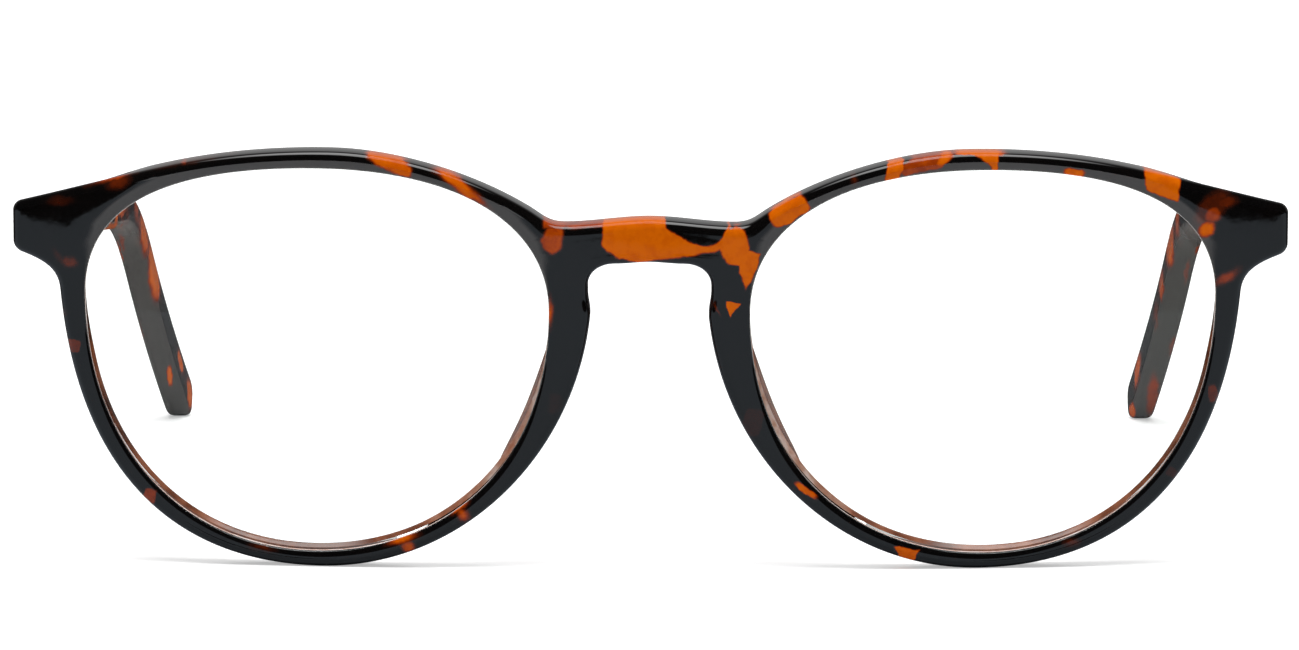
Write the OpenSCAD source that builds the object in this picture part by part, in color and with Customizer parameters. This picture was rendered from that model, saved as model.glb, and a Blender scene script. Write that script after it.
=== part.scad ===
// Round full-rim glasses with a keyhole bridge, in millimetres.
// The glasses stand open on a table at z = 0: the front faces -Y and the arms run back to +Y.
// The front is drawn upright first, with x across, y to the back and z up from the rims' lowest edge.
// It is then leaned forward until the rims and the arm tips both touch the table.

/* [Lenses] */
// Width of each lens across its bevel
lens_w = 52; // [46:0.2:56]
// Height of each lens across its bevel
lens_h = 43.3; // [38:0.1:48]
// Thickness of each lens
lens_t = 2; // [1.4:0.1:2.4]
// Radius of the lens's curved faces
lens_r = 130; // [90:1:260]
// How far the bevel stands into the rim's groove
bevel_h = 0.7; // [0.5:0.05:1]

/* [Front] */
// Distance between the two lenses at the bridge
bridge_w = 19.9; // [17:0.1:26]
// Height of the bridge bar at the middle
bridge_h = 4.6; // [3.6:0.1:6]
// Height of the bridge's underside over the rims' lowest edge
bridge_z = 33.9; // [31:0.1:36]
// Width of the rim over the lens
rim_top = 1.9; // [1.6:0.1:3]
// Width of the rim under the lens
rim_bottom = 1.8; // [1.6:0.1:3]
// Width of the rim beside the temple
rim_side = 3.05; // [2.4:0.05:4]
// Width of the rim beside the nose
rim_nose = 4.45; // [3.6:0.05:5.4]
// Thickness of the front from face to back
front_t = 4.2; // [3.8:0.1:5]
// Radius of the front's wrap round the face
wrap_r = 330; // [250:5:600]
// Rounding of the front's outer edges
edge_r = 0.9; // [0.5:0.05:1]
// How far the end piece reaches past the rim
end_reach = 4.85; // [4:0.05:6.5]
// Height of the end piece at its outer side
end_h = 4.8; // [4.5:0.1:6]
// Height of the hinge's middle over the rims' lowest edge
hinge_z = 36.4; // [35:0.1:38]

/* [Nose pads] */
// How far the pads stand back from the rims
pad_d = 4.4; // [3:0.1:6]
// How far a pad leans away from the nose for each mm it stands back
pad_splay = 0.35; // [0.2:0.05:0.6]

/* [Arms] */
// Length of each arm along its middle, from the seam to the tip
arm_l = 140; // [130:1:150]
// Length of the straight part before the bend
bend_at = 84; // [75:1:92]
// Radius of the bend over the ear
bend_r = 40; // [28:1:60]
// Angle of the bend over the ear
bend_angle = 35; // [26:1:40]
// Angle between the arm and the line square to the front
panto = 8.5; // [6:0.5:10]
// Angle by which the arms close in towards their tips
toe_in = 1.8; // [0:0.1:2.5]
// Extra inward curve of the arm behind the bend, at the tip
tip_in = 3; // [1:0.1:5]
// Height of the arm at the seam
arm_h_seam = 5.4; // [4.8:0.1:6]
// Height of the arm along its straight part
arm_h_mid = 4.4; // [3.8:0.1:5]
// Height of the arm just before its rounded tip
arm_h_tip = 5.6; // [5:0.1:8]
// Thickness of the arm at the seam
arm_t_seam = 4; // [3.6:0.1:4.4]
// Thickness of the arm along its straight part
arm_t_mid = 3; // [2.6:0.1:3.6]
// Thickness of the arm at its tip
arm_t_tip = 2.8; // [2.4:0.1:3.4]
// Height of the metal core
core_h = 1.8; // [1.2:0.1:2]
// Thickness of the metal core
core_t = 1; // [0.8:0.1:1.2]

/* [Hinges] */
// Radius of the hinge's knuckles
knuckle_r = 1.3; // [1.1:0.05:1.4]
// Height of one knuckle
knuckle_h = 0.76; // [0.7:0.02:0.8]
// Radius of the screw
screw_r = 0.6; // [0.5:0.05:0.7]
// Radius of the screw's head
head_r = 1; // [0.9:0.05:1.05]
// Height of the screw's head
head_h = 0.6; // [0.5:0.05:0.9]
// Thickness of the hinge's plates
plate_t = 0.7; // [0.6:0.05:0.8]
// Length of the plate in the arm
arm_plate_l = 9; // [7:0.5:12]

/* [Fits] */
// Gap between the lens's bevel and the groove
lens_gap = 0.1; // [0.05:0.01:0.2]
// Gap between two knuckles
knuckle_gap = 0.05; // [0.04:0.01:0.1]
// Gap between the screw and the knuckles' bores, on the radius
bore_gap = 0.04; // [0.03:0.01:0.08]
// Gap between the arm and the end piece at the seam
seam_gap = 0.1; // [0.05:0.01:0.2]
// Gap between a plate or the core and the plastic round it
let_in_gap = 0.05; // [0.03:0.01:0.1]

/* [Hidden] */
$fn = 48;

tortoise = [0.36, 0.16, 0.05];
clear_lens = [0.85, 0.9, 0.92, 0.35];
steel = [0.72, 0.72, 0.74];

// The lens opening: how full each quarter is, from a corner cut flat at 0 to a square corner at 1.
// The quarters run from the top to the outer side, the bottom, the nose side and back to the top.
open_full = [0.66, 0.6, 0.59, 0.61];
rim_full = [0.53, 0.65, 0.55, 0.45];
// Sideways places of the highest and lowest points, measured from the middle of the lens
open_top_dx = -0.5;
open_bottom_dx = 0.5;
rim_top_dx = -1.35;
rim_bottom_dx = -0.2;
// Heights of the widest points, as shares of the outline's height
open_nose_share = 0.64;
open_side_share = 0.66;
rim_nose_share = 0.69;
rim_side_share = 0.79;

eye_x = bridge_w / 2 + lens_w / 2;
open_in = bridge_w / 2 + bevel_h;
open_out = bridge_w / 2 + lens_w - bevel_h;
open_low = rim_bottom;
open_high = rim_bottom + lens_h - 2 * bevel_h;
rim_in = open_in - rim_nose;
rim_out = open_out + rim_side;
rim_high = open_high + rim_top;
end_x = rim_out + end_reach;
bridge_top = bridge_z + bridge_h;

// Small roundings of the opening's edges and of the back's outer edges
lip_r = 0.45;
back_r = 0.5;
// The back of the rim stands further into the opening beside the nose
nose_lip = 0.3;
nose_lip_from = 2.3;
nose_lip_to = 3.15;

// Where the outer outline leaves the rim for the bridge, the end piece and the nose notch
leave_bridge = 0.42;
leave_top = 0.38;
meet_side = 0.095;
leave_nose = 0.925;
// The bridge's dip beside each rim
dip_x = rim_in + 3;
dip_z = bridge_top - 0.65;
dip_run = 1.8;
// The corners of the end piece, and how its upper and lower edges slope
end_r = 1.2;
end_top_slope = 0.26;
end_low_slope = 0.35;
end_low_run = 3;
side_run = 2;
// The notch under the bridge: how far it is set back from the rim, and its round corner
notch_in = 0.45;
notch_r = 2.4;
notch_run = 0.9;
notch_pull = 1.4;
swell_pull = 1;
under_sag = 0.2;

// Depths, measured from the middle of the bridge's face
groove_slope = 1.56;
lens_mid_dip = 0.25;
hinge_flat = 10.1;
ramp_w = 0.4;
seam_y = hinge_flat + 0.6 + knuckle_r;
lug_in = end_x - arm_t_seam - 0.05;
hinge_x = lug_in - 2.5;

hinge_h = 5 * knuckle_h + 4 * knuckle_gap;
hinge_low = hinge_z - hinge_h / 2;
plate_w = 3.4;
arm_plate_in = 0.5;
web_t = 1.15;

function lerp(a, b, t) = a + (b - a) * t;
function clamp(v, lo, hi) = min(max(v, lo), hi);
function eased(t) = let (c = clamp(t, 0, 1)) c * c * (3 - 2 * c);

// A cubic curve, its direction, and the stretch of it from a to b
function on_curve(s, t) =
    let (u = 1 - t)
    u * u * u * s[0] + 3 * u * u * t * s[1] + 3 * u * t * t * s[2] + t * t * t * s[3];
function direction(s, t) =
    let (u = 1 - t)
    let (d = u * u * (s[1] - s[0]) + 2 * u * t * (s[2] - s[1]) + t * t * (s[3] - s[2]))
    d / norm(d);
function mixed(s, a, b, c) =
    let (p = lerp(s[0], s[1], a), q = lerp(s[1], s[2], a), r = lerp(s[2], s[3], a))
    lerp(lerp(p, q, b), lerp(q, r, b), c);
function stretch(s, a, b) = [mixed(s, a, a, a), mixed(s, a, a, b), mixed(s, a, b, b), mixed(s, b, b, b)];
function straight(p, q) = [p, lerp(p, q, 1 / 3), lerp(p, q, 2 / 3), q];
// The outlines run clockwise seen from the front, so their outer side is on the left of their way
function outward(d) = [-d.y, d.x];

// A closed eye shape of four quarters, from its highest point by the outer side and the nose side
function eye_shape(high, side, low, nose, full) = [
    [high, high + [(side.x - high.x) * full[0], 0], side + [0, (high.y - side.y) * full[0]], side],
    [side, side + [0, (low.y - side.y) * full[1]], low + [(side.x - low.x) * full[1], 0], low],
    [low, low + [(nose.x - low.x) * full[2], 0], nose + [0, (low.y - nose.y) * full[2]], nose],
    [nose, nose + [0, (high.y - nose.y) * full[3]], high + [(nose.x - high.x) * full[3], 0], high]];

opening = eye_shape(
    [eye_x + open_top_dx, open_high],
    [open_out, lerp(open_low, open_high, open_side_share)],
    [eye_x + open_bottom_dx, open_low],
    [open_in, lerp(open_low, open_high, open_nose_share)],
    open_full);
rim = eye_shape(
    [eye_x + rim_top_dx, rim_high],
    [rim_out, rim_high * rim_side_share],
    [eye_x + rim_bottom_dx, 0],
    [rim_in, rim_high * rim_nose_share],
    rim_full);

// A point of a closed shape: turn counts quarters, and out moves it off the outline
function on_shape(shape, turn, out = 0) =
    let (k = floor(turn) % 4, t = turn - floor(turn))
    on_curve(shape[k], t) + out * outward(direction(shape[k], t));

// Points where the stretches of the outer outline meet
bridge_high = [0, bridge_top];
bridge_low = [0, bridge_z];
dip = [dip_x, dip_z];
off_bridge = on_curve(rim[3], leave_bridge);
off_top = on_curve(rim[0], leave_top);
end_top = hinge_z + end_h / 2;
end_low = hinge_z - end_h / 2;
end_a = [end_x - end_r, end_top + end_top_slope * end_r];
end_b = [end_x, end_top - end_r];
end_c = [end_x, end_low + end_r];
end_d = [end_x - end_r, end_low - end_low_slope * end_r];
at_side = on_curve(rim[1], meet_side);
off_nose = on_curve(rim[2], leave_nose);
notch_x = rim_in + notch_in;
notch_a = [notch_x, bridge_z - under_sag - notch_r];
notch_b = [notch_x - notch_r - 0.6, bridge_z - under_sag];
swell_end = notch_a - [0, notch_run];
end_top_way = [1, -end_top_slope];
end_low_way = [-1, -end_low_slope];

// Each stretch: its curve, the number of steps, and the turn of the opening where it starts
outer_path = [
    [[bridge_high, bridge_high + [dip_x / 3, 0], dip - [dip_x / 3, 0], dip], 4, 3.28],
    [[dip, dip + [dip_run, 0], off_bridge - dip_run * direction(rim[3], leave_bridge), off_bridge], 4, 3.31],
    [stretch(rim[3], leave_bridge, 1), 5, 3.41],
    [stretch(rim[0], 0, leave_top), 5, 4],
    [[off_top, off_top + (end_x - off_top.x) / 3 * direction(rim[0], leave_top),
        end_a - (end_x - off_top.x) / 3 * end_top_way, end_a], 5, 4.38],
    [[end_a, end_a + end_r * 0.6 * end_top_way, end_b + [0, end_r * 0.6], end_b], 3, 4.66],
    [straight(end_b, end_c), 1, 4.71],
    [[end_c, end_c - [0, end_r * 0.6], end_d - end_r * 0.6 * end_low_way, end_d], 3, 4.76],
    [[end_d, end_d + end_low_run * end_low_way, at_side - side_run * direction(rim[1], meet_side), at_side],
        6, 4.8],
    [stretch(rim[1], meet_side, 1), 13, 5],
    [stretch(rim[2], 0, leave_nose), 13, 6],
    [[off_nose, off_nose + swell_pull * direction(rim[2], leave_nose),
        swell_end - [0, swell_pull], swell_end], 4, 6.93],
    [[notch_a - [0, notch_run], notch_a - [0, 0.6], notch_a - [0, 0.3], notch_a], 1, 7.03],
    [[notch_a, notch_a + [0, notch_pull], notch_b + [notch_pull + 0.4, 0], notch_b], 5, 7.08],
    [[notch_b, notch_b - [notch_b.x / 3, 0], [notch_b.x / 3, bridge_z], bridge_low], 2, 7.215]];
cut_steps = 3;
cut_turns = [7.245, 7.275];
cut_in = 1.3;
whole_turn = 4;

// One spoke for each step: [point of the outer outline, its outward side, turn of the opening]
path_spokes = [
    for (k = [0 : len(outer_path) - 1])
        let (s = outer_path[k], n = s[1])
        let (last = k == len(outer_path) - 1 ? cut_turns[0] : outer_path[k + 1][2])
        let (first = k < 3 ? s[2] - (s[2] > whole_turn ? whole_turn : 0) : s[2])
        for (i = [0 : n - 1])
            [on_curve(s[0], i / n), outward(direction(s[0], i / n)), lerp(first, last, i / n)]];
cut_spokes = [
    [bridge_low, [0, -1], cut_turns[0]],
    for (i = [1 : cut_steps])
        [[0, lerp(bridge_z + cut_in, bridge_top - cut_in, (i - 0.5) / cut_steps)], [-1, 0],
            lerp(cut_turns[0], cut_turns[1], i / (cut_steps + 1))]];
spokes = concat(path_spokes, cut_spokes);
spoke_count = len(spokes);
// The cut on x = 0 runs from this spoke to the last one, and on to the first
cut_start = len(path_spokes);

// Depth of the front's face, of the lens's middle and of the back, at a place on the front
function face_y(x) = wrap_r - sqrt(wrap_r * wrap_r - x * x);
wrap_angle = asin(eye_x / wrap_r);
lens_mid = [eye_x, face_y(eye_x) + lens_mid_dip, rim_bottom - bevel_h + lens_h / 2];
lens_ball = lens_mid + lens_r * [-sin(wrap_angle), cos(wrap_angle), 0];
function lens_y(p) =
    lens_ball.y - sqrt(lens_r * lens_r - pow(p.x - lens_ball.x, 2) - pow(p.y - lens_ball.z, 2));
function back_y(x) =
    let (plain = min(face_y(x) + front_t, hinge_flat))
    lerp(plain, seam_y, clamp((x - lug_in) / ramp_w + 1, 0, 1));
function nose_lip_at(turn) =
    let (t = ((turn % whole_turn) - nose_lip_from) / (nose_lip_to - nose_lip_from))
    t > 0 && t < 1 ? nose_lip * pow(sin(180 * t), 2) : 0;

function at_depth(p, y) = [p.x, y, p.y];

// The front's section at one spoke: the opening's wall with its groove, the back, the outer side
// and the face, as points from the face's inner edge round to its outer edge
round_part = 1 - sqrt(0.5);
cut_points = 11;
function section(spoke, whole) =
    let (o = spoke[0], n = spoke[1], turn = spoke[2])
    let (lip = nose_lip_at(turn), wall = on_shape(opening, turn))
    let (mid = lens_y(on_shape(opening, turn, bevel_h)), half = (bevel_h + lens_gap) * groove_slope)
    let (a = on_shape(opening, turn, lip_r), b = on_shape(opening, turn, lip_r * round_part))
    let (deep = on_shape(opening, turn, bevel_h + lens_gap), lip_mid = on_shape(opening, turn, -lip / 2))
    let (c = on_shape(opening, turn, -lip), d = on_shape(opening, turn, lip_r * round_part - lip))
    let (lip_low = min(mid + half + lip / 2 * groove_slope, back_y(c.x) - lip_r - 0.1))
    let (e = on_shape(opening, turn, lip_r - lip))
    let (out_b = whole ? o - back_r * n : o, run = out_b.x - e.x)
    let (far = abs(run) > 0.01)
    let (s1 = far ? clamp((lug_in - ramp_w - e.x) / run, 0.1, 0.9) : 0.3)
    let (s2 = far ? clamp((lug_in - e.x) / run, s1 + 0.04, 0.97) : 0.6)
    let (g = lerp(e, out_b, s1), h = lerp(e, out_b, s2))
    let (out_f = whole ? o - edge_r * n : o)
    let (out_bm = o - back_r * round_part * n, out_fm = o - edge_r * round_part * n)
    [at_depth(a, face_y(a.x)),
        at_depth(b, face_y(b.x) + lip_r * round_part),
        at_depth(wall, face_y(wall.x) + lip_r),
        at_depth(wall, mid - half),
        at_depth(deep, mid),
        at_depth(lip_mid, lip_low),
        at_depth(c, back_y(c.x) - lip_r),
        at_depth(d, back_y(d.x) - lip_r * round_part),
        at_depth(e, back_y(e.x)),
        at_depth(g, back_y(g.x)),
        at_depth(h, back_y(h.x)),
        at_depth(out_b, back_y(out_b.x)),
        at_depth(out_bm, back_y(out_bm.x) - back_r * round_part),
        at_depth(o, back_y(o.x) - back_r),
        at_depth(o, face_y(o.x) + edge_r),
        at_depth(out_fm, face_y(out_fm.x) + edge_r * round_part),
        at_depth(out_f, face_y(out_f.x))];
section_count = 17;

function in_cut(i) = i >= cut_start || i == 0;
function mirrored(p) = [-p.x, p.y, p.z];
half_points = [
    for (i = [0 : spoke_count - 1])
        each section(spokes[i], i <= cut_start)];
front_points = concat(half_points, [for (p = half_points) mirrored(p)]);
// The two halves share their points on x = 0
function point_at(side, i, j) =
    (side == 1 && in_cut(i) && j >= cut_points ? 0 : side * spoke_count * section_count)
    + i * section_count + j;
front_faces = [
    for (side = [0, 1])
        for (i = [0 : spoke_count - 1])
            let (k = (i + 1) % spoke_count)
            for (j = [0 : section_count - 1])
                let (m = (j + 1) % section_count)
                if (!(in_cut(i) && in_cut(k) && j >= cut_points && j < section_count - 1))
                    let (a = point_at(side, i, j), b = point_at(side, k, j))
                    let (c = point_at(side, k, m), d = point_at(side, i, m))
                    each side == 0 ? [[a, b, c], [a, c, d]] : [[c, b, a], [d, c, a]]];

// The arm's middle line: [y, z, angle below level]
arm_start = seam_y + seam_gap;
bend_turn = bend_r * bend_angle * PI / 180;
bend_start = [arm_start + bend_at * cos(panto), hinge_z - bend_at * sin(panto)];
low_angle = panto + bend_angle;
bend_end = bend_start
    + bend_r * [sin(low_angle) - sin(panto), cos(low_angle) - cos(panto)];
function arm_line(s) =
    s < bend_at
    ? [arm_start + s * cos(panto), hinge_z - s * sin(panto), panto]
    : s < bend_at + bend_turn
    ? let (q = panto + (s - bend_at) / bend_r * 180 / PI)
        [bend_start.x + bend_r * (sin(q) - sin(panto)), bend_start.y + bend_r * (cos(q) - cos(panto)), q]
    : let (r = s - bend_at - bend_turn)
        [bend_end.x + r * cos(low_angle), bend_end.y - r * sin(low_angle), low_angle];

seam_taper = 12;
mid_from = 45;
tip_r = arm_h_tip / 2;
function arm_height(s) =
    s < mid_from
    ? lerp(arm_h_seam, arm_h_mid, eased(s / mid_from))
    : lerp(arm_h_mid, arm_h_tip, eased((s - bend_at) / (arm_l - tip_r - bend_at)));
function arm_thick(s) =
    s < mid_from
    ? lerp(arm_t_seam, arm_t_mid, eased((s - seam_taper) / (mid_from - seam_taper)))
    : lerp(arm_t_mid, arm_t_tip, eased((s - mid_from) / (arm_l - mid_from)));
// The rounded tip: shares of the height and thickness that are left near the end
tip_square = 0.35;
function tip_share(s) = let (t = clamp((s - arm_l + tip_r) / tip_r, 0, 1)) sqrt(1 - t * t);
function arm_outer(s) =
    end_x - 0.05 - s * tan(toe_in) - tip_in * pow(max(s - bend_at, 0) / (arm_l - bend_at), 2);
function arm_middle_x(s) = arm_outer(s) - arm_thick(s) / 2;
// Sections stand upright at the seam and square to the arm after this length
seam_square = 6;

// A ring of points round the arm's middle line, square enough to have flat sides
ring_sides = 16;
ring_power = 0.5;
function soft_square(v) = sign(v) * pow(abs(v), ring_power);
function ring(s, half_t, half_h, x, sides, dy = 0) =
    let (p = arm_line(s), q = p[2] * clamp(s / seam_square, 0, 1))
    [for (k = [0 : sides - 1])
        let (w = 360 * k / sides, b = half_h * soft_square(sin(w)))
        [x + half_t * soft_square(cos(w)), p.x + dy + b * sin(q), p.y + b * cos(q)]];

tip_steps = [15, 30, 45, 58, 70, 80];
arm_stations = [0, 6, 12, 20, 30, 45, 62,
    for (i = [0 : 8]) lerp(bend_at - 4, bend_at + bend_turn + 4, i / 8),
    arm_l - tip_r - 10, arm_l - tip_r,
    for (a = tip_steps) arm_l - tip_r + tip_r * sin(a)];

// A closed skin over rings of equally many points, from the first ring to the last
module skin(rings) {
    n = len(rings[0]);
    last = len(rings) - 1;
    polyhedron(
        points = [for (r = rings) each r],
        faces = [
            [for (k = [0 : n - 1]) n - 1 - k],
            [for (k = [0 : n - 1]) last * n + k],
            for (i = [0 : last - 1])
                for (k = [0 : n - 1])
                    let (a = i * n + k, b = i * n + (k + 1) % n)
                    each [[a, b + n, a + n], [a, b, b + n]]]);
}

// How the glasses lean and sit, so that the rims' round lower edges and the tips touch z = 0
foot = [face_y(eye_x + rim_bottom_dx) + edge_r, edge_r];
tip_line = arm_line(arm_l - tip_r);
tip_mid = [tip_line.x, tip_line.y];
tip_way = tip_mid - foot;
lean = asin((tip_r - edge_r) / norm(tip_way)) - atan2(tip_way.y, tip_way.x);
lift = edge_r - foot.y * cos(lean) - foot.x * sin(lean);
front_most = -bridge_top * sin(lean);
back_most = tip_mid.x * cos(lean) - tip_mid.y * sin(lean) + tip_r;
middle_y = (front_most + back_most) / 2;

module on_table() {
    translate([0, -middle_y, lift]) rotate([lean, 0, 0]) children();
}

// The wearer's right is on the -X side
module on_right() {
    mirror([1, 0, 0]) children();
}

// Plates, pockets and knuckles, drawn on the +X side of the upright front
module front_plate(grow = 0) {
    translate([hinge_x - plate_w / 2 - grow, hinge_flat - plate_t - grow, hinge_low - grow])
        cube([plate_w + 2 * grow, plate_t + grow + (grow > 0 ? 1 : 0), hinge_h + 2 * grow]);
}

module arm_plate(grow = 0) {
    translate([0, seam_y, hinge_z]) rotate([-panto, 0, 0])
        translate([lug_in + arm_plate_in - plate_t - grow, 0.6 - grow, -hinge_h / 2 - grow])
            cube([plate_t + 2 * grow, arm_plate_l + 2 * grow, hinge_h + 2 * grow]);
}

module knuckle(i) {
    translate([hinge_x, seam_y, hinge_low + i * (knuckle_h + knuckle_gap)])
        cylinder(r = knuckle_r, h = knuckle_h);
}

module screw_hole(extra) {
    translate([hinge_x, seam_y, hinge_low - 1])
        cylinder(r = screw_r + extra, h = hinge_h + 2);
}

module hinge_pockets() {
    for (side = [0, 1]) mirror([side, 0, 0]) front_plate(let_in_gap);
}

// The pad, on rings across the rim that follow its nose side from below upwards
pad_from = 0.5;
pad_to = 0.93;
pad_rings = 12;
pad_sides = 12;
pad_seat = 0.02;
pad_soft = 0.7;
module nose_pad() {
    skin([
        for (i = [0 : pad_rings])
            let (a = 180 * i / pad_rings, t = lerp(pad_from, pad_to, (1 - cos(a)) / 2))
            let (e = max(sin(a), 0.18), p = on_shape(rim, 2 + t, -back_r), q = on_shape(opening, 2 + t, lip_r))
            let (mid = (p + q) / 2, half = (q - p) / 2 * pow(e, 0.6), way = (q - p) / norm(q - p))
            [for (k = [0 : pad_sides - 1])
                let (w = 180 * k / (pad_sides - 1), dy = pad_d * pow(e, 0.8) * pow(sin(w), pad_soft))
                let (c = mid - half * sign(cos(w)) * pow(abs(cos(w)), pad_soft) + pad_splay * dy * way)
                [c.x, back_y(c.x) + pad_seat + dy, c.y]]]);
}

// The lens: a disc with a double bevel, cut by the two ball faces
lens_sides = 72;
lens_reach = 2.5;
module bevel_disc() {
    turns = [for (i = [0 : lens_sides - 1]) 4 * i / lens_sides];
    edge = [for (t = turns) on_shape(opening, t, bevel_h)];
    wall = [for (t = turns) on_shape(opening, t, bevel_h - lens_reach / groove_slope)];
    n = lens_sides;
    polyhedron(
        points = concat(
            [for (i = [0 : n - 1]) at_depth(wall[i], lens_y(edge[i]) - lens_reach)],
            [for (i = [0 : n - 1]) at_depth(edge[i], lens_y(edge[i]))],
            [for (i = [0 : n - 1]) at_depth(wall[i], lens_y(edge[i]) + lens_reach)],
            [lens_mid - [0, 2 * lens_reach, 0], lens_mid + [0, 2 * lens_reach, 0]]),
        faces = [
            for (i = [0 : n - 1])
                let (k = (i + 1) % n)
                each [[3 * n, i, k], [3 * n + 1, 2 * n + k, 2 * n + i],
                    [i, n + i, n + k], [i, n + k, k],
                    [n + i, 2 * n + i, 2 * n + k], [n + i, 2 * n + k, n + k]]]);
}

module lens() {
    intersection() {
        bevel_disc();
        difference() {
            translate(lens_ball) sphere(r = lens_r + lens_t / 2);
            translate(lens_ball) sphere(r = lens_r - lens_t / 2);
        }
    }
}

module front_hinge() {
    difference() {
        union() {
            front_plate();
            for (i = [0, 2, 4]) {
                knuckle(i);
                translate([hinge_x - web_t / 2, hinge_flat - plate_t / 2,
                    hinge_low + i * (knuckle_h + knuckle_gap)])
                    cube([web_t, seam_y - hinge_flat, knuckle_h]);
            }
        }
        screw_hole(bore_gap);
    }
}

module temple_hinge() {
    difference() {
        union() {
            arm_plate();
            for (i = [1, 3]) {
                knuckle(i);
                translate([hinge_x, seam_y + knuckle_r - web_t, hinge_low + i * (knuckle_h + knuckle_gap)])
                    cube([lug_in - hinge_x, web_t, knuckle_h]);
            }
        }
        screw_hole(bore_gap);
    }
}

slot_w = 0.25;
slot_d = 0.3;
module hinge_screw() {
    difference() {
        translate([hinge_x, seam_y, hinge_low]) {
            cylinder(r = screw_r, h = hinge_h);
            translate([0, 0, hinge_h + knuckle_gap / 2]) cylinder(r = head_r, h = head_h);
            cylinder(r = screw_r, h = hinge_h + head_h / 2);
        }
        translate([hinge_x - head_r - 1, seam_y - slot_w / 2, hinge_low + hinge_h + knuckle_gap / 2 + head_h - slot_d])
            cube([2 * head_r + 2, slot_w, slot_d + 1]);
    }
}

core_sides = 8;
core_end = 12;
core_point = 6;
module core(grow, from) {
    stations = concat([from, 3], [for (s = arm_stations) if (s > 3 && s < arm_l - core_end - core_point) s],
        [arm_l - core_end - core_point, arm_l - core_end + grow]);
    skin([
        for (s = stations)
            let (left = s > arm_l - core_end - core_point + 0.01 ? 0.4 : 1)
            ring(s, core_t / 2 * left + grow, core_h / 2 * left + grow, arm_middle_x(max(s, 0)), core_sides)]);
}

module temple() {
    difference() {
        skin([
            for (s = arm_stations)
                let (e = tip_share(s))
                ring(s, arm_thick(s) / 2 * lerp(1, e, tip_square + 0.4 * (1 - e)), arm_height(s) / 2 * e,
                    arm_middle_x(s), ring_sides)]);
        arm_plate(let_in_gap);
        core(let_in_gap, -1);
    }
}

module frame_front() {
    color(tortoise) on_table() difference() {
        polyhedron(points = front_points, faces = front_faces);
        hinge_pockets();
    }
}
module lens_left() { color(clear_lens) on_table() lens(); }
module lens_right() { color(clear_lens) on_table() on_right() lens(); }
module nose_pad_left() { color(tortoise) on_table() nose_pad(); }
module nose_pad_right() { color(tortoise) on_table() on_right() nose_pad(); }
module front_hinge_left() { color(steel) on_table() front_hinge(); }
module front_hinge_right() { color(steel) on_table() on_right() front_hinge(); }
module temple_hinge_left() { color(steel) on_table() temple_hinge(); }
module temple_hinge_right() { color(steel) on_table() on_right() temple_hinge(); }
module hinge_screw_left() { color(steel) on_table() hinge_screw(); }
module hinge_screw_right() { color(steel) on_table() on_right() hinge_screw(); }
module temple_left() { color(tortoise) on_table() temple(); }
module temple_right() { color(tortoise) on_table() on_right() temple(); }
module core_wire_left() { color(steel) on_table() core(0, 0.3); }
module core_wire_right() { color(steel) on_table() on_right() core(0, 0.3); }

frame_front();
lens_right();
lens_left();
nose_pad_right();
nose_pad_left();
front_hinge_right();
front_hinge_left();
temple_hinge_right();
temple_hinge_left();
hinge_screw_right();
hinge_screw_left();
temple_right();
temple_left();
core_wire_right();
core_wire_left();
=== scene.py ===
import bmesh
import bpy
import math
import numpy as np
from mathutils import Matrix, Vector


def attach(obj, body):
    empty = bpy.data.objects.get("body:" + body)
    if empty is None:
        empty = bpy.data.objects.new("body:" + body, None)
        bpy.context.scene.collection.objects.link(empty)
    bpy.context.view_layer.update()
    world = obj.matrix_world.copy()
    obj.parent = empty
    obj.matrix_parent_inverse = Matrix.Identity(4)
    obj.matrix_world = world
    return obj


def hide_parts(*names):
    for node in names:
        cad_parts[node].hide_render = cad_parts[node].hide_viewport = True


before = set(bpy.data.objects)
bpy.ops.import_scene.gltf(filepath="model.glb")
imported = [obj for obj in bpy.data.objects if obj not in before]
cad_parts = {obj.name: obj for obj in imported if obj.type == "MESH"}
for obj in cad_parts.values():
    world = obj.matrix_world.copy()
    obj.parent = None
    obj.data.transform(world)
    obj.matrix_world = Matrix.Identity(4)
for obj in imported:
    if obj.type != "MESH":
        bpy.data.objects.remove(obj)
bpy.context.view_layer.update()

# ---------------------------------------------------------------- sizes from the CAD source
# Lengths are in millimetres and angles in degrees. Most names are those of the CAD source.
lens_w, lens_h, lens_t, lens_r, bevel_h = 52, 43.3, 2, 130, 0.7
bridge_w, bridge_h, bridge_z = 19.9, 4.6, 33.9
rim_top, rim_bottom, rim_side, rim_nose = 1.9, 1.8, 3.05, 4.45
front_t, wrap_r, edge_r, end_reach, end_h, hinge_z = 4.2, 330, 0.9, 4.85, 4.8, 36.4
pad_d = 4.4
arm_l, bend_at, bend_r, bend_angle, panto, toe_in, tip_in = 140, 84, 40, 35, 8.5, 1.8, 3
arm_h_seam, arm_h_mid, arm_h_tip = 5.4, 4.4, 5.6
arm_t_seam, arm_t_mid, arm_t_tip = 4, 3, 2.8
knuckle_r, lens_gap, seam_gap = 1.3, 0.1, 0.1
open_full = [0.66, 0.6, 0.59, 0.61]
rim_full = [0.53, 0.65, 0.55, 0.45]
open_top_dx, open_bottom_dx, rim_top_dx, rim_bottom_dx = -0.5, 0.5, -1.35, -0.2
open_nose_share, open_side_share, rim_nose_share, rim_side_share = 0.64, 0.66, 0.69, 0.79

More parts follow.
